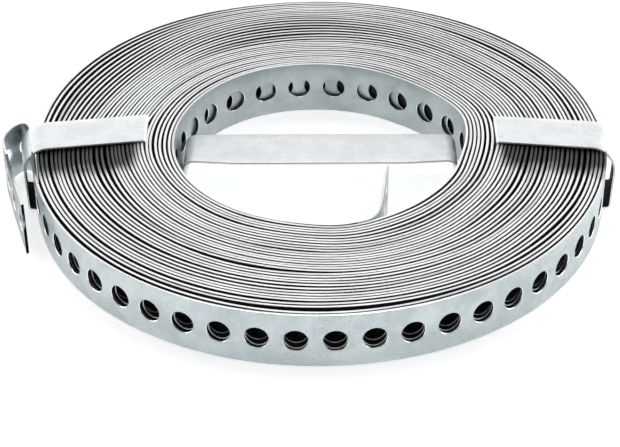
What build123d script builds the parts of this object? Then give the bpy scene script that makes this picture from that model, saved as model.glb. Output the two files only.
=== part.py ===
from build123d import *
import math
import os

# A coil of perforated steel strap lying flat, held by one flat binding strip.
# Millimetres. Z is up, the coil's axis is the Z axis and the coil lies on Z = 0.

# Strap: a flat band with one row of round holes along its middle
strap_width = 17.0
strap_thickness = 0.8
hole_diameter = 6.5
hole_pitch = 10.3

# Coil, wound outwards anticlockwise as seen from above
bore_radius = 43.9
turn_count = 32
turn_pitch = 1.265
group_count = 7
group_drop = 0.9
round_hole_every = 4
plain_hole_sides = 14
first_outer_hole_angle = 195.4
first_bore_hole_angle = 3.0

# Outer tail: the loose end leaves the coil, kinks and runs back along the wall
tail_root_angle = 169.5
tail_root_depth = 1.5
tail_kink_angle = 179.1
tail_kink_standoff = 9.2
tail_kink_radius = 3.0
tail_end_angle = 202.0
tail_end_standoff = 5.1

# Inner tail: the first end is bent away from the rim across the bore
inner_root_angle = 304.0
inner_root_depth = 0.7
inner_bend_angle = 290.5
inner_bend_standoff = 1.2
inner_bend_radius = 2.0
inner_tail_length = 26.0
inner_tail_heading = 79.6

# Binding strip: plain flat strip woven through the coil along a diameter
strip_width = 14.5
strip_thickness = 0.6
strip_clearance = 0.4
strip_offset = 4.6
arm_skew = 9.0
bar_drop = 6.0
bar_bend_radius = 5.0
passage_depth = 7.0
arm_rise = 0.9
arm_standoff = 2.4
arm_bend_radius = 4.5
arm_foot_standoff = 0.5
hook_length = 7.0

# Levels and radii that follow from the sizes above
coil_outer_radius = bore_radius + turn_count * turn_pitch
passage_radius = bore_radius + passage_depth
coil_bottom = strip_thickness
coil_top = coil_bottom + strap_width
coil_middle = coil_bottom + strap_width / 2
half_strip = strip_thickness / 2
tight_bend_radius = half_strip + strip_clearance


def polar(radius, angle):
    """Point in plan at a radius and an angle in degrees from the coil's axis."""
    return (radius * math.cos(math.radians(angle)), radius * math.sin(math.radians(angle)))


def turn_line(level, drop):
    """Points across one end of the coil: its turns in groups, every other one drawn back by drop."""
    width = turn_count * turn_pitch / group_count
    points = []
    for i in range(group_count):
        is_low = i % 2 == 1 and i < group_count - 1
        height = level - drop if is_low else level
        points += [(bore_radius + i * width, height), (bore_radius + (i + 1) * width, height)]
    return points


def hole_angles(wall_radius, first_angle):
    """Angles of the holes that go once round a wall of the coil."""
    count = round(2 * math.pi * wall_radius / hole_pitch)
    return [first_angle + i * 360 / count for i in range(count)]


def flat_distance(wall_radius, angles):
    """Distance from the axis to the flats of a wall, which has one flat for each hole."""
    return wall_radius * math.cos(math.pi / len(angles))


def flats(wall_radius, angles):
    """Prism whose sides are the flats of a wall, each with a hole at its middle."""
    turn = angles[0] - 180 / len(angles)
    outline = RegularPolygon(wall_radius, len(angles), rotation=turn)
    return extrude(outline, coil_top + strip_thickness)


def turned_coil(outer_angles, bore_angles):
    """The coil as one turned solid with its bore, its turns showing as steps on both ends."""
    spare = strap_thickness
    top = turn_line(coil_top, group_drop)
    bottom = turn_line(coil_bottom, -group_drop)
    inner_edge = [(bore_radius - spare, coil_bottom), (bore_radius - spare, coil_top)]
    outer_edge = [(coil_outer_radius + spare, coil_top), (coil_outer_radius + spare, coil_bottom)]
    outline = inner_edge + top[1:-1] + outer_edge + bottom[-2:0:-1]
    section = make_face(Polyline(*(Vector(r, 0, z) for r, z in outline), close=True))
    turned = revolve(section, Axis.Z, 360)
    return turned & flats(coil_outer_radius, outer_angles) - flats(bore_radius, bore_angles)


def hole_cutter(point, heading, outline):
    """A cutter for one strap hole, one thickness to each side of a point along a heading."""
    plane = Plane(origin=(point[0], point[1], coil_middle), z_dir=(heading[0], heading[1], 0))
    return extrude(plane * outline, strap_thickness, both=True)


def round_outline():
    """Outline of a strap hole."""
    return Circle(hole_diameter / 2)


def plain_outline():
    """Outline of a strap hole in flats, as wide as the round one, for the many like holes of the walls."""
    return RegularPolygon(hole_diameter / 2, plain_hole_sides, major_radius=False)


def angle_between(one, other):
    """Smallest angle in degrees between two angles."""
    return abs((one - other + 180) % 360 - 180)


def wall_holes(wall_radius, angles, tail_angle, outward):
    """Blind holes through the one turn that shows on a wall, left out where a tail leaves it."""
    distance = flat_distance(wall_radius, angles)
    taken = math.degrees((hole_diameter / 2 + 2 * strap_thickness) / wall_radius)
    cutters = []
    for i, angle in enumerate(angles):
        if angle_between(angle, tail_angle) < taken:
            continue
        is_round = outward > 0 and (i + 1) % round_hole_every == 0
        outline = round_outline() if is_round else plain_outline()
        cutters.append(hole_cutter(polar(distance, angle), polar(outward, angle), outline))
    return cutters


def wall_crossing(points, wall_radius):
    """Share of the first run of a tail at which it crosses the wall, and the angle there."""
    (x, y), (end_x, end_y) = points[:2]
    run_x, run_y = end_x - x, end_y - y
    a = run_x**2 + run_y**2
    b = x * run_x + y * run_y
    root = math.sqrt(b**2 - a * (x**2 + y**2 - wall_radius**2))
    share = min((s for s in ((root - b) / a, (-root - b) / a) if s > 0))
    return share, math.degrees(math.atan2(y + share * run_y, x + share * run_x))


def outer_tail_points():
    """Corners of the outer tail in plan, from inside the coil's wall to the free end."""
    return [
        polar(coil_outer_radius - tail_root_depth, tail_root_angle),
        polar(coil_outer_radius + tail_kink_standoff, tail_kink_angle),
        polar(coil_outer_radius + tail_end_standoff, tail_end_angle),
    ]


def inner_tail_points():
    """Corners of the inner tail in plan, from inside the bore's wall to the free end."""
    bend = polar(bore_radius - inner_bend_standoff, inner_bend_angle)
    run = polar(inner_tail_length, inner_tail_heading)
    root = polar(bore_radius + inner_root_depth, inner_root_angle)
    return [root, bend, (bend[0] + run[0], bend[1] + run[1])]


def tail_line(points, radius):
    """Middle line of a tail in plan, rounded at its corner."""
    return FilletPolyline(*points, radius=radius)


def tail_band(line):
    """A tail as a length of strap standing on edge along its line."""
    return Pos(0, 0, coil_bottom) * extrude(trace(line, strap_thickness), strap_width)


def tail_hole_place(line, number):
    """Point and outward heading of a tail's hole, counted back from the free end."""
    distance = line.length - hole_pitch * (number + 0.5)
    point = line.position_at(distance, position_mode=PositionMode.LENGTH)
    along = line.tangent_at(distance, position_mode=PositionMode.LENGTH)
    return (point.X, point.Y), (along.Y, -along.X)


def tail_holes(line, points, wall_radius):
    """Through holes along a tail, spaced back from half a pitch behind the free end."""
    share, angle = wall_crossing(points, wall_radius)
    free = line.length - share * math.dist(points[0], points[1]) - hole_diameter / 2
    count = int(free / hole_pitch + 0.5)
    places = [tail_hole_place(line, i) for i in range(count)]
    return [hole_cutter(point, heading, round_outline()) for point, heading in places]


def passage_slots():
    """Cutters for the two gaps between turns that the binding strip passes through."""
    slot = Box(
        strip_thickness + 2 * strip_clearance,
        strip_width + 2 * strip_clearance,
        coil_top + strip_thickness,
        align=(Align.CENTER, Align.CENTER, Align.MIN),
    )
    return [Pos(side * passage_radius, strip_offset, 0) * slot for side in (-1, 1)]


def perforated_strap():
    """The whole strap: coil, both tails and the rows of holes, in one piece."""
    outer_angles = hole_angles(coil_outer_radius, first_outer_hole_angle)
    bore_angles = hole_angles(bore_radius, first_bore_hole_angle)
    outer_points = outer_tail_points()
    inner_points = inner_tail_points()
    outer_line = tail_line(outer_points, tail_kink_radius)
    inner_line = tail_line(inner_points, inner_bend_radius)
    outer_root = wall_crossing(outer_points, coil_outer_radius)[1]
    inner_root = wall_crossing(inner_points, bore_radius)[1]
    cutters = wall_holes(coil_outer_radius, outer_angles, outer_root, 1)
    cutters += wall_holes(bore_radius, bore_angles, inner_root, -1)
    cutters += tail_holes(outer_line, outer_points, coil_outer_radius)
    cutters += tail_holes(inner_line, inner_points, bore_radius)
    coil = turned_coil(outer_angles, bore_angles)
    whole = coil.fuse(tail_band(outer_line), tail_band(inner_line))
    return whole.cut(*cutters, *passage_slots())


def strip_half_line():
    """Middle line of the binding strip on the +X side, from the bar's middle to the hook's end."""
    edge_offset = abs(strip_offset) + strip_width / 2
    bore_run = math.sqrt(bore_radius**2 - edge_offset**2) - strip_clearance - half_strip
    arm_run = coil_outer_radius + arm_standoff + half_strip
    foot_run = coil_outer_radius + arm_foot_standoff + half_strip
    bar_level = coil_top - bar_drop - half_strip
    over_level = coil_top + half_strip
    corners = [
        (bore_run, bar_level, bar_bend_radius),
        (bore_run, half_strip, tight_bend_radius),
        (passage_radius, half_strip, tight_bend_radius),
        (passage_radius, over_level, tight_bend_radius),
        (arm_run, over_level + arm_rise, arm_bend_radius),
        (foot_run, half_strip, tight_bend_radius),
    ]
    end = (foot_run - hook_length, half_strip)
    return corners, end


def binding_strip():
    """One plain strip: hook, arm, passage, bar across the bore, and the same again mirrored."""
    corners, end = strip_half_line()
    mirrored = [(-x, z, radius) for x, z, radius in reversed(corners)]
    points = [(-end[0], end[1])] + [(x, z) for x, z, radius in mirrored + corners] + [end]
    radii = [radius for x, z, radius in mirrored + corners]
    line = FilletPolyline(*points, radius=radii)
    profile = Plane.XZ * trace(line, strip_thickness)
    slab = extrude(profile, coil_outer_radius, both=True)
    return slab & strip_plan()


def strip_plan():
    """The strip's outline in plan, straight across the bore with both arms skewed."""
    kink = passage_radius + tight_bend_radius
    reach = coil_outer_radius + 2 * arm_standoff
    fall = (reach - kink) * math.tan(math.radians(arm_skew))
    near = [(-reach, -fall), (-kink, 0), (kink, 0), (reach, -fall)]
    low = [(x, strip_offset + y - strip_width / 2) for x, y in near]
    high = [(x, strip_offset + y + strip_width / 2) for x, y in reversed(near)]
    outline = make_face(Polyline(*(low + high), close=True))
    return Pos(0, 0, -strap_width) * extrude(outline, 3 * strap_width)


os.makedirs("parts", exist_ok=True)
export_step(perforated_strap(), "parts/perforated_strap.step")
export_step(binding_strip(), "parts/binding_strip.step")
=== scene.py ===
import math
import random

import bmesh
import bpy
import numpy as np
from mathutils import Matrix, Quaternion, Vector


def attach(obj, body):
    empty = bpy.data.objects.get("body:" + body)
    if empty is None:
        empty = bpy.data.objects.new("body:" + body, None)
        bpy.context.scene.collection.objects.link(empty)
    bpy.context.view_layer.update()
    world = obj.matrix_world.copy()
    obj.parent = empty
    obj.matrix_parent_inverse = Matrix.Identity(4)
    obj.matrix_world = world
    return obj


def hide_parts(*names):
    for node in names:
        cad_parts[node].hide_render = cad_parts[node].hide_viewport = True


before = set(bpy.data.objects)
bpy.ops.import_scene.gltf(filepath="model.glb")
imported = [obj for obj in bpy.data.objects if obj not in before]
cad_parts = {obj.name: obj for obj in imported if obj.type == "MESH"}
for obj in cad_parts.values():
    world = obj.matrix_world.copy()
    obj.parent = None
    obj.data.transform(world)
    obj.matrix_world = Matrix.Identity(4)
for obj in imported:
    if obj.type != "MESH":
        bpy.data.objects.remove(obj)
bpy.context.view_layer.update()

# A coil of perforated steel strap, held by one flat binding strip.
# Sizes are in millimetres as in the part's source, and meshes are made in metres.
MM = 0.001

# Strap
STRAP_WIDTH = 17.0
STRAP_THICKNESS = 0.8
STRAP_EDGE_ROUNDING = 0.28
EDGE_ANGLES = (30, 90, 150)
EDGE_IS_CUT = (0.0, 1.0, 1.0, 0.0)
HOLE_LIP = 0.16
HOLE_DIAMETER = 6.5
HOLE_PITCH = 10.3
COIL_BOTTOM = 0.6
COIL_TOP = COIL_BOTTOM + STRAP_WIDTH

# Winding: clockwise outwards, with angles counted on from turn to turn, from the outer end
OUTER_END_ANGLE = 186.0
INNER_END_ANGLE = 284.0 + 32 * 360.0
ANGLE_STEP = 1.0
BORE_WALL_RADIUS = 42.2
OUTER_WALL_RADIUS = 84.3
CLOSEST_PITCH = 0.83
LEAST_SLACK = 0.1
PLACES_ACROSS = 1601

# Where the walls swell out of round: angle, spread in degrees, millimetres
BORE_SWELLS = [
    (18.0, 13.0, 1.5),
    (52.0, 14.0, -0.5),
    (120.0, 30.0, 0.6),
    (175.0, 20.0, -0.15),
    (279.0, 14.0, 1.4),
    (325.0, 18.0, -0.8),
    (347.0, 12.0, -1.0),
]
OUTER_SWELLS = [
    (60.0, 50.0, 0.65),
    (130.0, 26.0, 2.3),
    (158.0, 14.0, 0.5),
    (198.0, 22.0, -0.75),
    (290.0, 50.0, 0.45),
]

# Loose zones: angle, spread in degrees, place from outside 0 to inside 1, its spread, slack
LOOSE_ZONES = [
    (95.0, 32.0, 0.44, 0.15, 5.5),
    (148.0, 26.0, 0.17, 0.17, 4.5),
    (250.0, 60.0, 0.03, 0.03, 0.8),
]

# Single gaps that stand open or closed: angle, spread in degrees, gaps counted from outside, slack
OPEN_GAPS = [
    (222.0, 28.0, 0, 2.6),
    (264.0, 15.0, 0, -1.8),
    (220.0, 26.0, 1, -0.4),
    (265.0, 27.0, 1, 4.2),
    (250.0, 34.0, 3, 2.0),
    (164.0, 18.0, 1, 1.6),
    (300.0, 30.0, 2, 0.8),
    (250.0, 30.0, 8, 0.9),
    (20.0, 40.0, 8, 1.4),
    (35.0, 44.0, 12, 1.4),
    (30.0, 50.0, 16, 1.2),
]
CHANCE_GAP_COUNT = 180
CHANCE_GAP_SPREAD = (12, 40)
BACK_ANGLES = (30, 180)
FRONT_SLACK = (-0.85, 1.9)
BACK_SLACK = (-0.6, 2.4)
WINDING_SEED = 11

# Outer tail in plan, from its free end round the strip's leg to the coil's outer turn
OUTER_TAIL = [
    (-82.8, -33.6),
    (-85.3, -25.6),
    (-87.9, -17.5),
    (-90.6, -8.0),
    (-92.8, 0.3),
    (-92.6, 3.2),
    (-91.5, 6.3),
    (-90.1, 8.5),
    (-88.5, 9.6),
    (-87.0, 9.2),
    (-85.9, 7.4),
    (-85.0, 4.4),
    (-84.4, 0.5),
]

# Inner tail in plan, from the coil's inner turn to its free end
INNER_TAIL = [
    (13.2, -41.5),
    (14.7, -40.5),
    (15.9, -38.8),
    (16.9, -35.8),
    (17.6, -32.0),
    (18.4, -24.6),
    (19.3, -15.9),
    (19.75, -14.3),
]

# How a tail joins the coil: points of the turn given up, steps in each run of the tail
JOIN_POINTS = 3
TAIL_STEPS = 12

# Places of holes along the strap: angle counted on from the outer end, holes from a first one
OUTER_HOLES = [(195.2 + 360 / 51 * n, n) for n in range(0, 48, 6)]
OUTER_HOLES += [(270.0 + 360.0, 61.6), (270.0 + 720.0, 111.6)]
BORE_HOLES = [(31 * 360.0 + 78.2, 0)]
BORE_HOLES += [
    (32 * 360.0 + angle, number)
    for angle, number in ((13.7, 22), (40.1, 24), (83.6, 27), (141.1, 31), (163.6, 33))
]

# Turns with finely divided cells at both walls, and turns of the bore's wall that show
FINE_TURNS = 3
BORE_WALL_TURNS = 2
POINTS_PER_CELL = 8
WALL_CELL_RUNS = 8
INNER_CELL_RUNS = 3

# Small rises of single turns, which fade out towards the strip
EDGE_RISE = 0.25
EDGE_RISE_LENGTH = 45.0
EDGE_RISE_START = (10.0, 24.0)

# Binding strip
STRIP_WIDTH = 14.5
STRIP_THICKNESS = 0.6
STRIP_EDGE_ROUNDING = 0.18
STRIP_CLEARANCE = 0.4
STRIP_OFFSET = 4.6
STRIP_MIDDLES = [(-50.9, 5.6), (-42.0, 4.7), (42.0, 4.5), (50.9, 3.9)]
ARM_SKEWS = {-1: 10.2, 1: 8.8}
BAR_DROP = 6.0
BAR_LEAN = 0.9
BAR_LEAN_FADE = (25.0, 40.0)
BAR_BEND_RADIUS = 3.2
BAR_REACHES = {-1: 0.0, 1: 1.1}
PASSAGE_RADII = {-1: 50.7, 1: 52.0}
PASSAGE_SLACK = 3.0
PASSAGE_SPREAD = 9.0
PASSAGE_SEARCH = 1.5
ARM_LIFT = 0.1
ARM_RISE = 1.0
ARM_STANDOFF = 2.9
ARM_BEND_RADIUS = 7.0
ARM_FOOT_STANDOFF = 1.7
HOOK_LENGTH = 7.0
TWIST = 0.06
TWIST_LENGTH = 9.0
ARC_STEP = 9
RUN_STEP = 3.0
FACE_RUNS = 6
CAD_COIL_RADIUS = 84.38

# Marks on faces: a cut edge, the rounding beside it, and how far apart two marks break the shading
CUT_MARK = 1.0
ROUNDING_MARK = 0.4
MARK_BREAK = 0.5
SHARP_ANGLE = 50
NEAR = 0.01

# How much of their zinc half-seen faces show; the rest of their colour is painted shade
OUTER_TAIL_SHADE = 0.35
BORE_WALL_SHOWN = 0.8

# Painted shadow of the strip's arms: dark colour on the turns before the arms, in millimetres from
# the arm's near edge
ARM_SHADOW_EDGE = 2.5
ARM_SHADOW_OVERLAP = 1.0
ARM_SHADOW_RAGGED = 10.0
ARM_SHADOW_REACH = (-18.0, -7.0)
ARM_SHADOW_START = (-1.0, 3.0)
ARM_SHADOW_LEVELS = (15.0, 16.5)
ARM_SHADOW_STRENGTH = 0.9
ARM_SHADOW_COLOUR = (0.03, 0.033, 0.037, 1)

# Finish, and the near-black colour of painted shade
SHADE_COLOUR = (0.02, 0.022, 0.025, 1)
GRAIN_STRENGTH = 1.4
BUMP_DISTANCE = 0.00002
BUMP_STRENGTH = 0.6

# Light of the pale back: heights between which a band fades out, its strength
BACK_BANDS = [(0.70, 0.85, 0.75), (0.08, 0.22, 3.5)]
BACK_FADE = (-0.1, 0.5)
FRONT_STRENGTH = 0.15

# Lamps: name, place in metres, width, height, power
LAMPS = [
    ("top_light", (0.0, 0.15, 0.9), 0.6, 0.6, 2.7),
    ("front_light", (0.0, -0.5, 0.9), 0.7, 0.4, 1.0),
    ("left_light", (-0.9, -0.1, 0.35), 0.6, 0.4, 1.5),
    ("right_light", (0.9, -0.1, 0.35), 0.6, 0.4, 2.0),
]

# Floor, in metres, and how its white goes from near the coil to far away
FLOOR_HALF = 3.0
FLOOR_LEVEL = -0.00005
GLOW_DISTANCES = (0.2, 1.2)
GLOW_STRENGTHS = (0.5, 0.9)


def polar(radius, angle):
    """Point in plan at a radius and an angle in degrees."""
    return (radius * math.cos(math.radians(angle)), radius * math.sin(math.radians(angle)))


def metres(values):
    """Millimetres as metres."""
    return tuple(value * MM for value in values)


def angle_between(one, other):
    """Signed smallest angle in degrees from other to one."""
    return (np.asarray(one) - other + 180.0) % 360.0 - 180.0


def strip_middle(x):
    """Middle of the binding strip across its width, between its two passages."""
    places, middles = zip(*STRIP_MIDDLES)
    return float(np.interp(x, places, middles))


def swollen(radius, swells, angles):
    """Radius of a wall at the given angles, with its swells."""
    total = np.full(len(angles), radius)
    for angle, spread, amount in swells:
        total += amount * np.exp(-((angle_between(angles, angle) / spread) ** 2))
    return total


def chance_gaps(turns):
    """Gaps placed by chance: angle, spread, place across the coil, slack."""
    chance = random.Random(WINDING_SEED)
    gaps = []
    for _ in range(CHANCE_GAP_COUNT):
        angle = chance.uniform(0, 360)
        spread = chance.uniform(*CHANCE_GAP_SPREAD)
        place = (chance.randrange(1, int(turns)) + 0.5) / turns
        slack = BACK_SLACK if BACK_ANGLES[0] < angle < BACK_ANGLES[1] else FRONT_SLACK
        gaps.append((angle, spread, place, chance.uniform(*slack)))
    return gaps


def passage_gaps(turns):
    """Gaps that stay open for the binding strip, one on each side."""
    gaps = []
    for side, radius in PASSAGE_RADII.items():
        angle = strip_angle(side)
        share = (OUTER_WALL_RADIUS - radius) / (OUTER_WALL_RADIUS - BORE_WALL_RADIUS)
        first = ((angle - OUTER_END_ANGLE) % 360) / 360
        count = round(share * turns - first - 0.5)
        gaps.append((angle, PASSAGE_SPREAD, (first + count + 0.5) / turns, PASSAGE_SLACK))
    return gaps


def strip_angle(side):
    """Angle at which the strip passes between turns on one side."""
    place = side * PASSAGE_RADII[side]
    return math.degrees(math.atan2(strip_middle(place), place))


def winding():
    """Angles counted on from turn to turn, and the radius of the strap's middle line at each."""
    span = INNER_END_ANGLE - OUTER_END_ANGLE
    turns = span / 360
    columns = np.arange(0, 360, ANGLE_STEP)
    share = np.linspace(0, 1, PLACES_ACROSS)
    slack = np.ones((len(columns), len(share)))
    for angle, spread, place, width, amount in LOOSE_ZONES:
        across = np.exp(-(((share - place) / width) ** 4))
        around = np.exp(-((angle_between(columns, angle) / spread) ** 2))
        slack += amount * around[:, None] * across[None, :]
    gaps = chance_gaps(turns) + passage_gaps(turns)
    for angle, spread, number, amount in OPEN_GAPS:
        first = ((angle - OUTER_END_ANGLE) % 360) / 360
        gaps.append((angle, spread, (first + number + 0.5) / turns, amount))
    for angle, spread, place, amount in gaps:
        turned = angle_between(columns, angle)
        middle = place + turned / 360 / turns
        across = np.exp(-(((share[None, :] - middle[:, None]) * turns / 0.5) ** 4))
        slack += amount * np.exp(-((turned / spread) ** 2))[:, None] * across
    packed = np.cumsum(np.maximum(slack, LEAST_SLACK), axis=1)
    packed = (packed - packed[:, :1]) / (packed[:, -1:] - packed[:, :1])
    angles = np.arange(OUTER_END_ANGLE, INNER_END_ANGLE + ANGLE_STEP / 2, ANGLE_STEP)
    inner = swollen(BORE_WALL_RADIUS + STRAP_THICKNESS / 2, BORE_SWELLS, angles)
    outer = swollen(OUTER_WALL_RADIUS - STRAP_THICKNESS / 2, OUTER_SWELLS, angles)
    part = (angles - OUTER_END_ANGLE) / span
    column = np.round(angles / ANGLE_STEP).astype(int) % len(columns)
    place = np.array([np.interp(p, share, packed[c]) for p, c in zip(part, column)])
    tight = turns * CLOSEST_PITCH
    return angles, outer - tight * part - (outer - inner - tight) * place


def between(t, low, high, one, two):
    """Points that go from one to two as t goes from low to high."""
    return (high - t) / (high - low) * one + (t - low) / (high - low) * two


def smooth_through(points, count):
    """A smooth open line through points, each run in count steps."""
    p = np.array(points, float)
    p = np.vstack([2 * p[0] - p[1], p, 2 * p[-1] - p[-2]])
    line = []
    for i in range(1, len(p) - 2):
        knots = np.cumsum([0] + [math.sqrt(math.dist(p[i + k], p[i + k - 1])) for k in range(3)])
        t = np.linspace(knots[1], knots[2], count, endpoint=False)[:, None]
        a = [between(t, knots[k], knots[k + 1], p[i - 1 + k], p[i + k]) for k in range(3)]
        b = [between(t, knots[k], knots[k + 2], a[k], a[k + 1]) for k in range(2)]
        line.append(between(t, knots[1], knots[2], b[0], b[1]))
    return np.vstack(line + [p[-2:-1]])


def strap_line():
    """The strap's middle line in plan at even shares of the hole pitch, with its headings."""
    angles, radii = winding()
    turns = np.stack([radii * np.cos(np.radians(angles)), radii * np.sin(np.radians(angles))], 1)
    kept = slice(JOIN_POINTS, -JOIN_POINTS)
    start = smooth_through(OUTER_TAIL + [tuple(turns[kept][0])], TAIL_STEPS)[:-1]
    end = smooth_through([tuple(turns[kept][-1])] + INNER_TAIL, TAIL_STEPS)[1:]
    plan = np.vstack([start, turns[kept], end])
    length = np.concatenate([[0], np.cumsum(np.linalg.norm(np.diff(plan, axis=0), axis=1))])
    turn_length = length[len(start) : len(start) + len(turns[kept])]

    def at(angle):
        return float(np.interp(angle, angles[kept], turn_length))

    first = round(at(OUTER_HOLES[0][0]) / HOLE_PITCH - 0.5) + 0.5
    anchors = [(0.0, 0.0)] + [(first + n, at(a)) for a, n in OUTER_HOLES]
    run = at(BORE_HOLES[0][0]) - anchors[-1][1]
    bore = math.floor(anchors[-1][0] + run / HOLE_PITCH) + 0.5
    anchors += [(bore + n, at(a)) for a, n in BORE_HOLES]
    count = round(float(anchors[-1][0] + (length[-1] - anchors[-1][1]) / HOLE_PITCH))
    anchors.append((count, length[-1]))
    cells, places = zip(*anchors)
    step = np.arange(count * POINTS_PER_CELL + 1) / POINTS_PER_CELL
    along = np.interp(step, cells, places)
    line = np.stack([np.interp(along, length, plan[:, k]) for k in range(2)], 1)
    heading = np.gradient(line, axis=0)
    heading /= np.linalg.norm(heading, axis=1)[:, None]

    def cell_at(angle):
        return round(float(np.interp(at(angle), places, cells)))

    facts = {
        "Cells": count,
        "Outer Tail End": cell_at(OUTER_END_ANGLE),
        "Outer Wall End": cell_at(OUTER_END_ANGLE + 360),
        "Outer Fine End": cell_at(OUTER_END_ANGLE + FINE_TURNS * 360),
        "Bore Fine Start": cell_at(INNER_END_ANGLE - FINE_TURNS * 360),
        "Bore Wall Start": cell_at(INNER_END_ANGLE - BORE_WALL_TURNS * 360),
        "Inner Tail Start": cell_at(INNER_END_ANGLE),
    }
    return line, heading, facts


def mesh_object(name, verts, edges, faces):
    """A new object with a mesh of the given parts."""
    mesh = bpy.data.meshes.new(name)
    mesh.from_pydata(verts, edges, faces)
    mesh.update()
    obj = bpy.data.objects.new(name, mesh)
    bpy.context.scene.collection.objects.link(obj)
    return obj


def ring_points(count, radius, y, middle):
    """Points round a hole of the strap, on a level across its thickness."""
    turns = [2 * math.pi * i / count for i in range(count)]
    return [(radius * math.cos(turn), y, middle + radius * math.sin(turn)) for turn in turns]


def strap_cell(name, edge_runs, lip):
    """One hole pitch of the strap, straight, with its hole and its round edges."""
    half_x = HOLE_PITCH / 2
    half_y = STRAP_THICKNESS / 2
    middle = (COIL_BOTTOM + COIL_TOP) / 2
    columns = [half_x - 2 * half_x * i / edge_runs for i in range(edge_runs + 1)]
    rim_count = 2 * len(columns) + 2
    inside = HOLE_DIAMETER / 2
    verts = []
    faces = []
    cut = []

    def band(one, two, flip, is_cut, closed=False):
        count = len(one) if closed else len(one) - 1
        for i in range(count):
            j = (i + 1) % len(one)
            quad = (one[i], one[j], two[j], two[i])
            faces.append(quad[::-1] if flip else quad)
            cut.append(is_cut)

    def added(points):
        verts.extend(points)
        return list(range(len(verts) - len(points), len(verts)))

    rows = {}
    for side in (1, -1):
        y = side * half_y
        rim = [(half_x, y, middle)]
        rim += [(x, y, COIL_TOP - STRAP_EDGE_ROUNDING) for x in columns]
        rim += [(-half_x, y, middle)]
        rim += [(x, y, COIL_BOTTOM + STRAP_EDGE_ROUNDING) for x in reversed(columns)]
        rows[side, "rim"] = added(rim)
        rows[side, "lip"] = added(ring_points(rim_count, inside + lip, y, middle))
        band(rows[side, "rim"], rows[side, "lip"], side > 0, 0.0, closed=True)
        rows[side, "hole"] = rows[side, "lip"]
        if lip:
            rows[side, "hole"] = added(ring_points(rim_count, inside, y - side * lip, middle))
            band(rows[side, "lip"], rows[side, "hole"], side > 0, CUT_MARK, closed=True)
    band(rows[1, "hole"], rows[-1, "hole"], True, 0.0, closed=True)
    runs = edge_runs + 1
    for level, turn in ((COIL_TOP, 1), (COIL_BOTTOM, -1)):
        wall = slice(1, 1 + runs) if turn > 0 else slice(2 + runs, None)
        first, last = (rows[side, "rim"][wall][::turn] for side in (1, -1))
        edge = [first]
        for angle in EDGE_ANGLES:
            y, rise = polar(1.0, angle)
            z = level - turn * STRAP_EDGE_ROUNDING * (1 - rise)
            edge.append(added([(x, half_y * y, z) for x in columns]))
        edge.append(last)
        for one, two, is_cut in zip(edge, edge[1:], EDGE_IS_CUT):
            band(one, two, turn < 0, is_cut)
    cell = mesh_object(name, [metres(point) for point in verts], [], faces)
    cell.data.attributes.new("cut_edge", "FLOAT", "FACE").data.foreach_set("value", cut)
    return cell


class Tree:
    """Adds nodes to a node tree and joins them up."""

    def __init__(self, tree):
        self.tree = tree

    def add(self, kind, *inputs, **settings):
        """A node with its settings, and its inputs in order: a socket, a value, or None."""
        node = self.tree.nodes.new(kind)
        for name, value in settings.items():
            setattr(node, name, value)
        sockets = [s for s in node.inputs if s.enabled]
        for socket, value in zip(sockets, inputs):
            self.give(socket, value)
        return node

    def give(self, socket, value):
        """Joins a socket to another one, or sets its value."""
        if isinstance(value, bpy.types.NodeSocket):
            self.tree.links.new(value, socket)
        elif value is not None:
            socket.default_value = value

    def math(self, operation, *inputs, **settings):
        """The result of a Math node."""
        kind = "ShaderNodeMath"
        return self.add(kind, *inputs, operation=operation, **settings).outputs[0]

    def vector(self, operation, *inputs):
        """The result of a Vector Math node."""
        return self.add("ShaderNodeVectorMath", *inputs, operation=operation).outputs[0]

    def scaled(self, vector, factor):
        """A vector times a number."""
        node = self.add("ShaderNodeVectorMath", vector, operation="SCALE")
        self.give(node.inputs["Scale"], factor)
        return node.outputs[0]

    def ramp(self, value, low, high, start=0.0, end=1.0):
        """A value eased from start to end as it goes from low to high."""
        kind = "ShaderNodeMapRange"
        node = self.add(kind, value, low, high, start, end, interpolation_type="SMOOTHSTEP")
        return node.outputs[0]


def socket_of(tree, name, in_out, kind, value=None):
    """A named socket of a node group."""
    socket = tree.interface.new_socket(name=name, in_out=in_out, socket_type=kind)
    if value is not None:
        socket.default_value = value
    return socket


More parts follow.
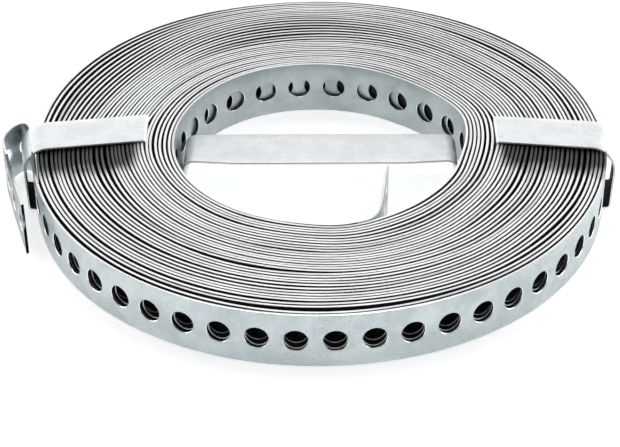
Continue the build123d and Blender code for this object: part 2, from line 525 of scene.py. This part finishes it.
def strap_tree(counts):
    """Nodes that set hole cells one after another along the strap's middle line."""
    tree = bpy.data.node_groups.new("perforated_band", "GeometryNodeTree")
    socket_of(tree, "Geometry", "OUTPUT", "NodeSocketGeometry")
    socket_of(tree, "Geometry", "INPUT", "NodeSocketGeometry")
    socket_of(tree, "Wall Cell", "INPUT", "NodeSocketObject")
    socket_of(tree, "Inner Cell", "INPUT", "NodeSocketObject")
    for name in counts:
        socket_of(tree, name, "INPUT", "NodeSocketInt", 1)
    socket_of(tree, "Cell Length", "INPUT", "NodeSocketFloat", 0.01)
    socket_of(tree, "Points Per Cell", "INPUT", "NodeSocketInt", 8)
    socket_of(tree, "Edge Rise", "INPUT", "NodeSocketFloat", 0.0)
    socket_of(tree, "Rise Length", "INPUT", "NodeSocketFloat", 0.05)
    socket_of(tree, "Strip Middle", "INPUT", "NodeSocketFloat", 0.0)
    socket_of(tree, "Material", "INPUT", "NodeSocketMaterial")
    t = Tree(tree)
    given = tree.nodes.new("NodeGroupInput").outputs
    length = given["Cell Length"]
    start = t.add("ShaderNodeCombineXYZ", t.math("MULTIPLY", length, 0.5)).outputs[0]
    step = t.add("ShaderNodeCombineXYZ", length).outputs[0]
    row = t.add("GeometryNodeMeshLine", given["Cells"], start, step, mode="OFFSET").outputs[0]
    index = t.add("GeometryNodeInputIndex").outputs[0]
    outside = t.math("LESS_THAN", index, given["Outer Fine End"])
    in_bore = t.math("GREATER_THAN", index, given["Bore Fine Start"])
    is_wall = t.math("MAXIMUM", in_bore, outside)
    halves = []
    for name, chosen in (
        ("Wall Cell", is_wall),
        ("Inner Cell", t.math("SUBTRACT", 1.0, is_wall)),
    ):
        cell = t.add("GeometryNodeObjectInfo", given[name]).outputs["Geometry"]
        halves.append(t.add("GeometryNodeInstanceOnPoints", row, chosen, cell).outputs[0])
    joined = t.add("GeometryNodeJoinGeometry")
    for half in reversed(halves):
        tree.links.new(half, joined.inputs[0])
    band = t.add("GeometryNodeRealizeInstances", joined.outputs[0]).outputs[0]
    band = t.add("GeometryNodeMergeByDistance", band, None, 0.00001).outputs[0]
    place = t.add("ShaderNodeSeparateXYZ", t.add("GeometryNodeInputPosition").outputs[0]).outputs
    normal = t.add("ShaderNodeSeparateXYZ", t.add("GeometryNodeInputNormal").outputs[0]).outputs
    cell_at = t.math("DIVIDE", place[0], length)

    # Painted shade: faces between the turns get a share to be painted near black, as do the outer
    # tail's inner side and the bore wall in part
    facing_out = t.math("GREATER_THAN", normal[1], 0.0)
    facing_in = t.math("LESS_THAN", normal[1], 0.0)
    shown = [
        t.math("MULTIPLY", t.math("LESS_THAN", cell_at, given["Outer Tail End"]),
               t.math("SUBTRACT", 1.0, t.math("MULTIPLY", facing_in, OUTER_TAIL_SHADE))),
        t.math("MULTIPLY", facing_out, t.math("LESS_THAN", cell_at, given["Outer Wall End"])),
        t.math("MULTIPLY", t.math("MULTIPLY", facing_in, BORE_WALL_SHOWN),
               t.math("GREATER_THAN", cell_at, given["Bore Wall Start"])),
        t.math("GREATER_THAN", cell_at, given["Inner Tail Start"]),
    ]
    painted_shade = 1.0
    for part in shown:
        painted_shade = t.math("SUBTRACT", painted_shade, part, use_clamp=True)
    kind = "GeometryNodeStoreNamedAttribute"
    along = t.add("ShaderNodeCombineXYZ", place[0], place[2]).outputs[0]
    band = t.add(kind, band, None, "UVMap", along, data_type="FLOAT2", domain="CORNER").outputs[0]
    band = t.add(kind, band, None, "painted_shade_between_turns", painted_shade,
                 data_type="FLOAT", domain="FACE").outputs[0]

    points = t.math("MULTIPLY", cell_at, given["Points Per Cell"])
    before = t.math("FLOOR", t.math("ADD", points, 0.0001))
    part = t.math("SUBTRACT", points, before, use_clamp=True)
    heading = t.add("GeometryNodeInputNamedAttribute", "outward", data_type="FLOAT_VECTOR")
    position = t.add("GeometryNodeInputPosition").outputs[0]
    sampled = []
    for value in (position, heading.outputs[0]):
        ends = []
        for number in (before, t.math("ADD", before, 1.0)):
            node = t.add("GeometryNodeSampleIndex", given["Geometry"], value, number,
                         data_type="FLOAT_VECTOR", domain="POINT", clamp=True)
            ends.append(node.outputs[0])
        change = t.scaled(t.vector("SUBTRACT", ends[1], ends[0]), part)
        sampled.append(t.vector("ADD", ends[0], change))
    line, outward = sampled[0], t.vector("NORMALIZE", sampled[1])
    offset = t.scaled(outward, place[1])
    wave = t.add("ShaderNodeTexNoise", noise_dimensions="1D")
    t.give(wave.inputs["W"], t.math("DIVIDE", place[0], given["Rise Length"]))
    t.give(wave.inputs["Scale"], 1.0)
    t.give(wave.inputs["Detail"], 0.0)
    from_strip = t.math("ABSOLUTE", t.math("SUBTRACT",
                        t.add("ShaderNodeSeparateXYZ", line).outputs[1], given["Strip Middle"]))
    free = t.ramp(from_strip, *metres(EDGE_RISE_START))
    rise = t.math("MULTIPLY", t.math("MULTIPLY", wave.outputs[0], free), given["Edge Rise"])
    height = t.add("ShaderNodeCombineXYZ", 0.0, 0.0, t.math("ADD", place[2], rise)).outputs[0]
    target = t.vector("ADD", t.vector("ADD", line, offset), height)
    band = t.add("GeometryNodeSetPosition", band, None, target).outputs[0]
    band = t.add("GeometryNodeRealizeInstances", band).outputs[0]
    band = t.add("GeometryNodeSetMaterial", band, None, given["Material"]).outputs[0]
    output = tree.nodes.new("NodeGroupOutput")
    tree.links.new(band, output.inputs[0])
    return tree


def made_by_nodes(obj, tree, values):
    """The object with the mesh that a node tree makes of it."""
    modifier = obj.modifiers.new(tree.name, "NODES")
    modifier.node_group = tree
    identifiers = {s.name: s.identifier for s in tree.interface.items_tree if s.in_out == "INPUT"}
    for name, value in values.items():
        modifier[identifiers[name]] = value
    bpy.context.view_layer.update()
    evaluated = obj.evaluated_get(bpy.context.evaluated_depsgraph_get())
    mesh = bpy.data.meshes.new_from_object(evaluated)
    obj.modifiers.remove(modifier)
    old = obj.data
    obj.data = mesh
    mesh.name = obj.name
    bpy.data.meshes.remove(old)
    return obj


def sharpened(obj):
    """Smooth shading, broken at sharp edges and where cut edges begin."""
    mesh = obj.data
    mesh.shade_smooth()
    part = bmesh.new()
    part.from_mesh(mesh)
    cut = part.faces.layers.float.get("cut_edge")
    for edge in part.edges:
        if len(edge.link_faces) != 2:
            continue
        one, two = edge.link_faces
        borders = cut is not None and abs(one[cut] - two[cut]) > MARK_BREAK
        edge.smooth = not borders and edge.calc_face_angle() < math.radians(SHARP_ANGLE)
    part.to_mesh(mesh)
    part.free()
    return obj


def perforated_strap(material):
    """The whole strap as one band with all its holes, from inner to outer tail."""
    line, heading, facts = strap_line()
    points = [(x * MM, y * MM, 0.0) for x, y in line]
    edges = [(i, i + 1) for i in range(len(line) - 1)]
    strap = mesh_object("perforated_strap_wound", points, edges, [])
    outward = strap.data.attributes.new("outward", "FLOAT_VECTOR", "POINT")
    for i, (x, y) in enumerate(heading):
        outward.data[i].vector = (y, -x, 0.0)
    wall_cell = strap_cell("wall_cell", WALL_CELL_RUNS, HOLE_LIP)
    inner_cell = strap_cell("inner_cell", INNER_CELL_RUNS, 0.0)
    made_by_nodes(strap, strap_tree(facts), {
        "Wall Cell": wall_cell,
        "Inner Cell": inner_cell,
        **facts,
        "Cell Length": HOLE_PITCH * MM,
        "Points Per Cell": POINTS_PER_CELL,
        "Edge Rise": EDGE_RISE * MM,
        "Rise Length": EDGE_RISE_LENGTH * MM,
        "Strip Middle": STRIP_OFFSET * MM,
        "Material": material,
    })
    for cell in (wall_cell, inner_cell):
        bpy.data.objects.remove(cell)
    return sharpened(strap)


def gap_radius(side):
    """Radius of the middle of the gap between turns that takes the strip on one side."""
    angles, radii = winding()
    here = radii[np.abs(angle_between(angles, strip_angle(side))) <= ANGLE_STEP / 2]
    gaps = (here[1:] + here[:-1]) / 2
    near = np.abs(gaps - PASSAGE_RADII[side]) < PASSAGE_SEARCH
    widths = np.where(near, here[:-1] - here[1:], 0)
    return float(gaps[np.argmax(widths)])


def rounded_line(corners, step):
    """Points along a line of runs with rounded corners (x, z, radius), arcs in steps of degrees."""
    line = [corners[0][:2]]
    for (ax, az, _), (bx, bz, radius), (cx, cz, _) in zip(corners, corners[1:], corners[2:]):
        b = Vector((bx, bz))
        to_a = (Vector((ax, az)) - b).normalized()
        to_c = (Vector((cx, cz)) - b).normalized()
        half = to_a.angle(to_c) / 2
        reach = radius / math.tan(half)
        centre = b + (to_a + to_c).normalized() * radius / math.sin(half)
        first = b + to_a * reach - centre
        last = b + to_c * reach - centre
        turn = first.angle_signed(last)
        count = max(2, math.ceil(abs(math.degrees(turn)) / step))
        for i in range(count + 1):
            angle = -turn * i / count
            c, s = math.cos(angle), math.sin(angle)
            point = centre + Vector((c * first.x - s * first.y, s * first.x + c * first.y))
            line.append((point.x, point.y))
    line.append(corners[-1][:2])
    return line


def divided(line, step):
    """The line with points added so that no run is longer than a step."""
    points = [line[0]]
    for (ax, az), (bx, bz) in zip(line, line[1:]):
        count = max(1, math.ceil(math.dist((ax, az), (bx, bz)) / step))
        points += [(ax + (bx - ax) * i / count, az + (bz - az) * i / count)
                   for i in range(1, count + 1)]
    return points


def strip_corners(side):
    """Corners (x, z, radius) of the strip's middle line from the bar to the hook, on one side."""
    half = STRIP_THICKNESS / 2
    tight = half + STRIP_CLEARANCE
    edge = STRIP_OFFSET + STRIP_WIDTH / 2
    bore = math.sqrt(BORE_WALL_RADIUS**2 - edge**2) - STRIP_CLEARANCE - half + BAR_REACHES[side]
    arm = CAD_COIL_RADIUS + ARM_STANDOFF + half
    foot = CAD_COIL_RADIUS + ARM_FOOT_STANDOFF + half
    over = COIL_TOP + half
    passage = abs(gap_radius(side) * math.cos(math.radians(strip_angle(side))))
    return [
        (0.0, COIL_TOP - BAR_DROP - half, 0.0),
        (side * bore, COIL_TOP - BAR_DROP - half, BAR_BEND_RADIUS),
        (side * bore, half, tight),
        (side * passage, half, tight),
        (side * passage, over + ARM_LIFT, tight),
        (side * arm, over + ARM_RISE - ARM_LIFT, ARM_BEND_RADIUS),
        (side * foot, half, tight),
        (side * (foot - HOOK_LENGTH), half, 0.0),
    ]


def strip_section():
    """The strip's section across its run (along Y, outwards), with rounded edges."""
    across = STRIP_WIDTH / 2 - STRIP_EDGE_ROUNDING
    out = STRIP_THICKNESS / 2 - STRIP_EDGE_ROUNDING
    section = []
    for corner_y, corner_n, start in (
        (across, out, 0), (-across, out, 90), (-across, -out, 180), (across, -out, 270)
    ):
        for turn in (0, 30, 60, 90):
            y, n = polar(STRIP_EDGE_ROUNDING, start + turn)
            section.append((corner_y + y, corner_n + n))
    points = []
    for one, two in zip(section, section[1:] + section[:1]):
        points.append(one)
        if math.dist(one, two) > STRIP_WIDTH / 2:
            run = two[0] - one[0]
            points += [(one[0] + run * k / FACE_RUNS, one[1]) for k in range(1, FACE_RUNS)]
    return points


def edge_mark(one, two):
    """Mark of a run of the section: a cut edge, a rounding beside it, or neither."""
    reaches = abs(one[0]), abs(two[0])
    if min(reaches) > STRIP_WIDTH / 2 - NEAR:
        return CUT_MARK
    if max(reaches) > STRIP_WIDTH / 2 - STRIP_EDGE_ROUNDING + NEAR:
        return ROUNDING_MARK
    return 0.0


def lie_of_strip(line, length):
    """Middle of the strip across its width, and its turn in plan, at each point of its line."""
    middles = np.array([strip_middle(x) for x, _ in line])
    turns = np.zeros(len(line))
    for side, skew in ARM_SKEWS.items():
        passage = PASSAGE_RADII[side]
        on_top = (side * line[:, 0] > passage) & (line[:, 1] > COIL_TOP)
        start = length[on_top].min() if side > 0 else length[on_top].max()
        beyond = np.maximum(side * (length - start), 0)
        middles -= beyond * math.tan(math.radians(skew))
        turns += side * math.radians(skew) * np.clip(beyond / (CAD_COIL_RADIUS - passage), 0, 1)
    return middles, turns


def binding_strip(material):
    """The plain flat strip woven through the coil, bent, with rounded edges."""
    right, left = (divided(rounded_line(strip_corners(side), ARC_STEP), RUN_STEP)
                   for side in (1, -1))
    line = np.array(left[::-1] + right[1:])
    heading = np.gradient(line, axis=0)
    heading /= np.linalg.norm(heading, axis=1)[:, None]
    length = np.concatenate([[0], np.cumsum(np.linalg.norm(np.diff(line, axis=0), axis=1))])
    middles, turns = lie_of_strip(line, length)
    on_bar = np.interp(np.abs(line[:, 0]), BAR_LEAN_FADE, (1.0, 0.0)) * (line[:, 1] > COIL_TOP / 2)
    section = strip_section()
    verts = []
    shares = []
    for i, (x, z) in enumerate(line):
        hx, hz = heading[i]
        for y, n in section:
            twist = TWIST * math.sin(length[i] / TWIST_LENGTH) * (y / STRIP_WIDTH)
            lean = BAR_LEAN * on_bar[i] * (y / STRIP_WIDTH - 0.5)
            across = middles[i] + y * math.cos(turns[i])
            aside = x + y * math.sin(turns[i]) - hz * (n + twist)
            verts.append(metres((aside, across, z + hx * (n + twist) + lean)))
            shares.append((length[i] * MM, y * MM))
    width = len(section)
    faces = []
    # Faces on the coil side of the strip's arms, legs and hooks are marked for painted shade
    coil_side_shade = []
    cut = []
    for i in range(len(line) - 1):
        is_outer = abs(line[i, 0]) > PASSAGE_RADII[1]
        for k in range(width):
            j = (k + 1) % width
            faces.append((i * width + k, i * width + j, (i + 1) * width + j, (i + 1) * width + k))
            coil_side_shade.append(1.0 if is_outer and section[k][1] < 0 and section[j][1] < 0 else 0.0)
            cut.append(edge_mark(section[k], section[j]))
    coil_side_shade += [0.0, 0.0]
    cut += [CUT_MARK, CUT_MARK]
    faces.append(tuple(range(width))[::-1])
    faces.append(tuple((len(line) - 1) * width + k for k in range(width)))
    strip = mesh_object("binding_strip_woven", verts, [], faces)
    mesh = strip.data
    mesh.attributes.new("against_coil", "FLOAT", "FACE").data.foreach_set("value", coil_side_shade)
    mesh.attributes.new("cut_edge", "FLOAT", "FACE").data.foreach_set("value", cut)
    uv = mesh.uv_layers.new(name="UVMap")
    for loop in mesh.loops:
        uv.data[loop.index].uv = shares[loop.vertex_index]
    mesh.materials.append(material)
    return sharpened(strip)


def shader_group(name, inputs, outputs):
    """An empty shader node group with named sockets, and its input and output nodes."""
    tree = bpy.data.node_groups.new(name, "ShaderNodeTree")
    for socket_name, kind, value in inputs:
        socket_of(tree, socket_name, "INPUT", kind, value)
    for socket_name, kind in outputs:
        socket_of(tree, socket_name, "OUTPUT", kind)
    given = tree.nodes.new("NodeGroupInput").outputs
    output = tree.nodes.new("NodeGroupOutput").inputs
    return Tree(tree), given, output


def mix_colour(t, factor, one, two, blend="MIX"):
    """The colour output of a Mix node."""
    node = t.tree.nodes.new("ShaderNodeMix")
    node.data_type = "RGBA"
    node.blend_type = blend
    t.give(node.inputs[0], factor)
    t.give(node.inputs[6], one)
    t.give(node.inputs[7], two)
    return node.outputs[2]


def noise(t, vector, scale, detail=2.0, roughness=0.5):
    """The value output of a Noise texture."""
    node = t.tree.nodes.new("ShaderNodeTexNoise")
    t.give(node.inputs["Vector"], vector)
    t.give(node.inputs["Scale"], scale)
    t.give(node.inputs["Detail"], detail)
    t.give(node.inputs["Roughness"], roughness)
    return node.outputs[0]


def zinc_group():
    """Colour and roughness of a zinc coating: soft clouds, faint crystals and fine grain."""
    t, given, output = shader_group(
        "zinc_coating",
        [
            ("Vector", "NodeSocketVector", None),
            ("Light Colour", "NodeSocketColor", (0.8, 0.8, 0.8, 1)),
            ("Dark Colour", "NodeSocketColor", (0.5, 0.5, 0.5, 1)),
            ("Cloud Scale", "NodeSocketFloat", 60.0),
            ("Crystal Scale", "NodeSocketFloat", 300.0),
            ("Crystal Strength", "NodeSocketFloat", 0.2),
            ("Grain Scale", "NodeSocketFloat", 1700.0),
            ("Smoothest", "NodeSocketFloat", 0.3),
            ("Roughest", "NodeSocketFloat", 0.5),
        ],
        [
            ("Colour", "NodeSocketColor"),
            ("Roughness", "NodeSocketFloat"),
            ("Height", "NodeSocketFloat"),
        ],
    )
    clouds = noise(t, given["Vector"], given["Cloud Scale"], 3.0, 0.55)
    grain = noise(t, given["Vector"], given["Grain Scale"], 1.0)
    crystals = t.tree.nodes.new("ShaderNodeTexVoronoi")
    t.give(crystals.inputs["Vector"], given["Vector"])
    t.give(crystals.inputs["Scale"], given["Crystal Scale"])
    tone = t.add("ShaderNodeSeparateColor", crystals.outputs["Color"]).outputs[0]
    tone = t.math("MULTIPLY", t.math("SUBTRACT", tone, 0.5), given["Crystal Strength"])
    mixed = t.math("ADD", t.ramp(clouds, 0.3, 0.7), tone)
    grains = t.math("MULTIPLY", t.math("SUBTRACT", grain, 0.5), GRAIN_STRENGTH)
    mixed = t.math("ADD", mixed, grains, use_clamp=True)
    t.give(output["Colour"], mix_colour(t, mixed, given["Dark Colour"], given["Light Colour"]))
    spread = t.math("SUBTRACT", given["Smoothest"], given["Roughest"])
    rough = t.math("ADD", given["Roughest"], t.math("MULTIPLY", mixed, spread))
    t.give(output["Roughness"], rough)
    t.give(output["Height"], t.math("ADD", t.math("MULTIPLY", clouds, 0.6), grain))
    return t.tree


def drawn_lines_group():
    """Faint lines along the strip that rolling leaves, from its own length and width."""
    t, given, output = shader_group(
        "rolling_lines",
        [
            ("Along and Across", "NodeSocketVector", None),
            ("Lines Per Metre", "NodeSocketFloat", 2500.0),
            ("Stretch", "NodeSocketFloat", 0.02),
        ],
        [("Mask", "NodeSocketFloat")],
    )
    place = t.add("ShaderNodeSeparateXYZ", given["Along and Across"]).outputs
    along = t.math("MULTIPLY", place[0], given["Stretch"])
    narrow = t.add("ShaderNodeCombineXYZ", along, place[1]).outputs[0]
    lines = noise(t, narrow, given["Lines Per Metre"], 2.0, 0.6)
    t.give(output["Mask"], t.ramp(lines, 0.35, 0.65))
    return t.tree


def specks_group():
    """Small dark specks and pits, scattered over a surface."""
    t, given, output = shader_group(
        "specks",
        [
            ("Vector", "NodeSocketVector", None),
            ("Speck Scale", "NodeSocketFloat", 800.0),
            ("Speck Size", "NodeSocketFloat", 0.13),
            ("Patch Scale", "NodeSocketFloat", 40.0),
            ("Rareness", "NodeSocketFloat", 0.26),
        ],
        [("Mask", "NodeSocketFloat")],
    )
    spots = t.tree.nodes.new("ShaderNodeTexVoronoi")
    t.give(spots.inputs["Vector"], given["Vector"])
    t.give(spots.inputs["Scale"], given["Speck Scale"])
    near = t.math("LESS_THAN", spots.outputs["Distance"], given["Speck Size"])
    picked = t.add("ShaderNodeSeparateColor", spots.outputs["Color"]).outputs[1]
    patches = t.ramp(noise(t, given["Vector"], given["Patch Scale"], 2.0), 0.45, 0.75)
    chosen = t.math("GREATER_THAN", t.math("MULTIPLY", picked, patches), given["Rareness"])
    t.give(output["Mask"], t.math("MULTIPLY", near, chosen))
    return t.tree


def placed(t, tree, values):
    """A node group set into a material with its own values."""
    node = t.tree.nodes.new("ShaderNodeGroup")
    node.node_tree = tree
    for name, value in values.items():
        t.give(node.inputs[name], value)
    return node.outputs


def new_material(name):
    """A material with its Principled BSDF, its tree and its Object coordinates."""
    material = bpy.data.materials.new(name)
    material.use_nodes = True
    t = Tree(material.node_tree)
    shader = next(n for n in material.node_tree.nodes if n.type == "BSDF_PRINCIPLED")
    place = t.add("ShaderNodeTexCoord").outputs["Object"]
    return material, t, shader, place


def bumped(t, shader, height):
    """Gives the shader a bump from a height."""
    node = t.tree.nodes.new("ShaderNodeBump")
    t.give(node.inputs["Height"], height)
    t.give(node.inputs["Distance"], BUMP_DISTANCE)
    t.give(node.inputs["Strength"], BUMP_STRENGTH)
    t.give(shader.inputs["Normal"], node.outputs[0])


def painted_arm_shadow(t, place):
    """Mask of the painted shadow of the strip's arms on the turns' upper edges, along the near side
    of the arms.
    """
    x, y, z = t.add("ShaderNodeSeparateXYZ", place).outputs
    out = t.math("SUBTRACT", t.math("ABSOLUTE", x), PASSAGE_RADII[1] * MM)
    fall = math.tan(math.radians(ARM_SKEWS[1]))
    near = t.math("ADD", y, t.math("ADD", t.math("MULTIPLY", out, fall), ARM_SHADOW_EDGE * MM))
    uneven = t.math("SUBTRACT", noise(t, place, 160.0, 3.0), 0.5)
    ragged = t.math("MULTIPLY", uneven, ARM_SHADOW_RAGGED * MM)
    reach = t.ramp(t.math("ADD", near, ragged), *metres(ARM_SHADOW_REACH))
    beyond_passage = t.ramp(out, *metres(ARM_SHADOW_START))
    on_turns = t.math("MULTIPLY", beyond_passage, t.ramp(z, *metres(ARM_SHADOW_LEVELS)))
    before = t.math("LESS_THAN", near, ARM_SHADOW_OVERLAP * MM)
    before = t.math("MULTIPLY", before, ARM_SHADOW_STRENGTH)
    return t.math("MULTIPLY", t.math("MULTIPLY", reach, on_turns), before)


def strap_steel(zinc, lines, specks):
    """Galvanised strap: grey faces, bright cut edges, painted shade on the faces between the turns
    and a painted shadow before the strip's arms.
    """
    material, t, shader, place = new_material("strap_steel")
    faces = placed(t, zinc, {
        "Vector": place,
        "Light Colour": (0.58, 0.64, 0.66, 1),
        "Dark Colour": (0.49, 0.55, 0.57, 1),
        "Cloud Scale": 90.0,
        "Crystal Scale": 420.0,
        "Crystal Strength": 0.45,
        "Smoothest": 0.34,
        "Roughest": 0.46,
    })
    own = t.add("ShaderNodeUVMap", uv_map="UVMap").outputs[0]
    rolled = placed(t, lines, {"Along and Across": own})["Mask"]
    dots = placed(t, specks, {"Vector": place})["Mask"]
    cut = t.add("ShaderNodeAttribute", attribute_name="cut_edge").outputs["Fac"]
    painted_shade = t.add("ShaderNodeAttribute", attribute_name="painted_shade_between_turns").outputs["Fac"]
    sheen = noise(t, t.vector("MULTIPLY", own, (14.0, 0.0, 0.0)), 1.0, 4.0, 0.6)
    colour = mix_colour(t, t.math("MULTIPLY", rolled, 0.10), faces["Colour"], (0.42, 0.46, 0.48, 1))
    # Painted shade on the faces between the turns, and in part on the bore wall and the outer
    # tail's inner side
    shaded = mix_colour(t, 0.95, colour, SHADE_COLOUR)
    colour = mix_colour(t, painted_shade, colour, shaded)
    sheen = t.ramp(sheen, 0.28, 0.56)
    bright = mix_colour(t, sheen, (0.66, 0.68, 0.69, 1), (0.99, 0.99, 0.99, 1))
    colour = mix_colour(t, cut, colour, bright)
    # Painted shadow of the strip's arms on the turns before them
    colour = mix_colour(t, painted_arm_shadow(t, place), colour, ARM_SHADOW_COLOUR)
    colour = mix_colour(t, t.math("MULTIPLY", dots, 0.6), colour, (0.08, 0.08, 0.08, 1))
    t.give(shader.inputs["Base Color"], colour)
    t.give(shader.inputs["Metallic"], 1.0)
    rough = t.math("ADD", faces["Roughness"], t.math("MULTIPLY", painted_shade, 0.3))
    t.give(shader.inputs["Roughness"], t.math("SUBTRACT", rough, t.math("MULTIPLY", cut, 0.10)))
    height = t.math("ADD", faces["Height"], t.math("MULTIPLY", rolled, 0.4))
    bumped(t, shader, height)
    return material


def binding_steel(zinc, lines, specks):
    """Binding strip: paler zinc with fine lines and small dark specks, painted shade on its side
    that faces the coil and painted dark lines of shade on the roundings beside its cut edges.
    """
    material, t, shader, place = new_material("binding_steel")
    faces = placed(t, zinc, {
        "Vector": place,
        "Light Colour": (0.90, 0.92, 0.93, 1),
        "Dark Colour": (0.82, 0.845, 0.86, 1),
        "Cloud Scale": 160.0,
        "Crystal Scale": 600.0,
        "Crystal Strength": 0.35,
        "Smoothest": 0.50,
        "Roughest": 0.60,
    })
    own = t.add("ShaderNodeUVMap", uv_map="UVMap").outputs[0]
    rolled = placed(t, lines, {"Along and Across": own, "Lines Per Metre": 1800.0})["Mask"]
    dots = placed(t, specks, {"Vector": place, "Speck Scale": 1000.0, "Rareness": 0.14})["Mask"]
    colour = mix_colour(t, t.math("MULTIPLY", rolled, 0.12), faces["Colour"], (0.60, 0.64, 0.65, 1))
    colour = mix_colour(t, t.math("MULTIPLY", dots, 0.55), colour, (0.16, 0.16, 0.16, 1))
    cut = t.add("ShaderNodeAttribute", attribute_name="cut_edge").outputs["Fac"]
    is_cut = t.math("GREATER_THAN", cut, (CUT_MARK + ROUNDING_MARK) / 2)
    # Painted shade: the roundings beside the cut edges are painted as dark lines
    is_shade_line = t.math("SUBTRACT", t.math("GREATER_THAN", cut, ROUNDING_MARK / 2), is_cut)
    colour = mix_colour(t, t.math("MULTIPLY", is_shade_line, 0.75), colour, (0.10, 0.11, 0.115, 1))
    colour = mix_colour(t, is_cut, colour, (0.95, 0.955, 0.96, 1))
    # Painted shade on the strip's side that faces the coil
    shade_on_coil_side = t.add("ShaderNodeAttribute", attribute_name="against_coil").outputs["Fac"]
    colour = mix_colour(t, t.math("MULTIPLY", shade_on_coil_side, 0.93), colour, SHADE_COLOUR)
    t.give(shader.inputs["Base Color"], colour)
    t.give(shader.inputs["Metallic"], 1.0)
    rough = t.math("ADD", faces["Roughness"], t.math("MULTIPLY", shade_on_coil_side, 0.2))
    t.give(shader.inputs["Roughness"], rough)
    height = t.math("ADD", faces["Height"], t.math("MULTIPLY", rolled, 0.5))
    bumped(t, shader, height)
    return material


def camera():
    """The photograph's camera: to the front and above, with a long lens and a slight roll."""
    elevation = math.radians(34.105)
    distance = 0.55442
    level = COIL_BOTTOM * MM
    back = distance * math.cos(elevation)
    place = Vector((0, -back, distance * math.sin(elevation) + level))
    target = Vector((-0.002612, -0.019198, level))
    focal_length_in_pixels = 1854.09
    picture_width_in_pixels = 620.0
    data = bpy.data.cameras.new("camera")
    data.sensor_width = 36.0
    data.lens = focal_length_in_pixels * data.sensor_width / picture_width_in_pixels
    data.clip_start = 0.01
    data.clip_end = 20.0
    obj = bpy.data.objects.new("camera", data)
    bpy.context.scene.collection.objects.link(obj)
    obj.location = place
    obj.rotation_mode = "QUATERNION"
    roll = Quaternion((0, 0, 1), math.radians(-0.443))
    obj.rotation_quaternion = (target - place).to_track_quat("-Z", "Y") @ roll
    bpy.context.scene.camera = obj


def lamp(name, place, width, height, power):
    """A soft rectangular lamp that looks at the coil."""
    data = bpy.data.lights.new(name, "AREA")
    data.shape = "RECTANGLE"
    data.size = width
    data.size_y = height
    data.energy = power
    obj = bpy.data.objects.new(name, data)
    bpy.context.scene.collection.objects.link(obj)
    obj.location = place
    direction = Vector((0, 0, 0)) - Vector(place)
    obj.rotation_euler = direction.to_track_quat("-Z", "Y").to_euler()


def studio():
    """Soft light: a pale back that is brightest low down, a dimmer front, and four soft lamps."""
    world = bpy.data.worlds.new("studio")
    bpy.context.scene.world = world
    world.use_nodes = True
    t = Tree(world.node_tree)
    background = next(n for n in world.node_tree.nodes if n.type == "BACKGROUND")
    direction = t.add("ShaderNodeTexCoord").outputs["Generated"]
    facing = t.add("ShaderNodeSeparateXYZ", direction).outputs
    middle, low = (t.ramp(facing[2], *fade, strength, 0.0) for *fade, strength in BACK_BANDS)
    behind = t.math("MULTIPLY", t.ramp(facing[1], *BACK_FADE), t.math("ADD", middle, low))
    background.inputs["Color"].default_value = (1.0, 1.0, 1.0, 1)
    t.give(background.inputs["Strength"], t.math("ADD", behind, FRONT_STRENGTH))
    for settings in LAMPS:
        lamp(*settings)


def floor():
    """A plain white floor that keeps the coil's shadow."""
    signs = [(-1, -1), (1, -1), (1, 1), (-1, 1)]
    corners = [(x * FLOOR_HALF, y * FLOOR_HALF, FLOOR_LEVEL) for x, y in signs]
    obj = mesh_object("floor", corners, [], [(0, 1, 2, 3)])
    material, t, shader, place = new_material("floor_white")
    shader.inputs["Base Color"].default_value = (0.9, 0.9, 0.9, 1)
    shader.inputs["Roughness"].default_value = 0.9
    shader.inputs["Specular IOR Level"].default_value = 0.0
    rays = t.add("ShaderNodeLightPath").outputs
    seen = t.math("MAXIMUM", rays["Is Camera Ray"],
                  t.math("MAXIMUM", rays["Is Glossy Ray"], rays["Is Transmission Ray"]))
    shader.inputs["Emission Color"].default_value = (1, 1, 1, 1)
    from_coil = t.add("ShaderNodeVectorMath", place, operation="LENGTH").outputs["Value"]
    glow = t.ramp(from_coil, *GLOW_DISTANCES, *GLOW_STRENGTHS)
    t.give(shader.inputs["Emission Strength"], t.math("MULTIPLY", seen, glow))
    obj.data.materials.append(material)


def build():
    """Makes the two pieces and hands them to the frame."""
    zinc = zinc_group()
    lines = drawn_lines_group()
    specks = specks_group()
    strap = perforated_strap(strap_steel(zinc, lines, specks))
    strip = binding_strip(binding_steel(zinc, lines, specks))
    for piece, node, slot in (
        (strap, "perforated_strap", "strap_steel"),
        (strip, "binding_strip", "binding_steel"),
    ):
        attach(piece, "root")
        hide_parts(node)


camera()
studio()
floor()
build()
view = bpy.context.scene.view_settings
view.view_transform = "Standard"
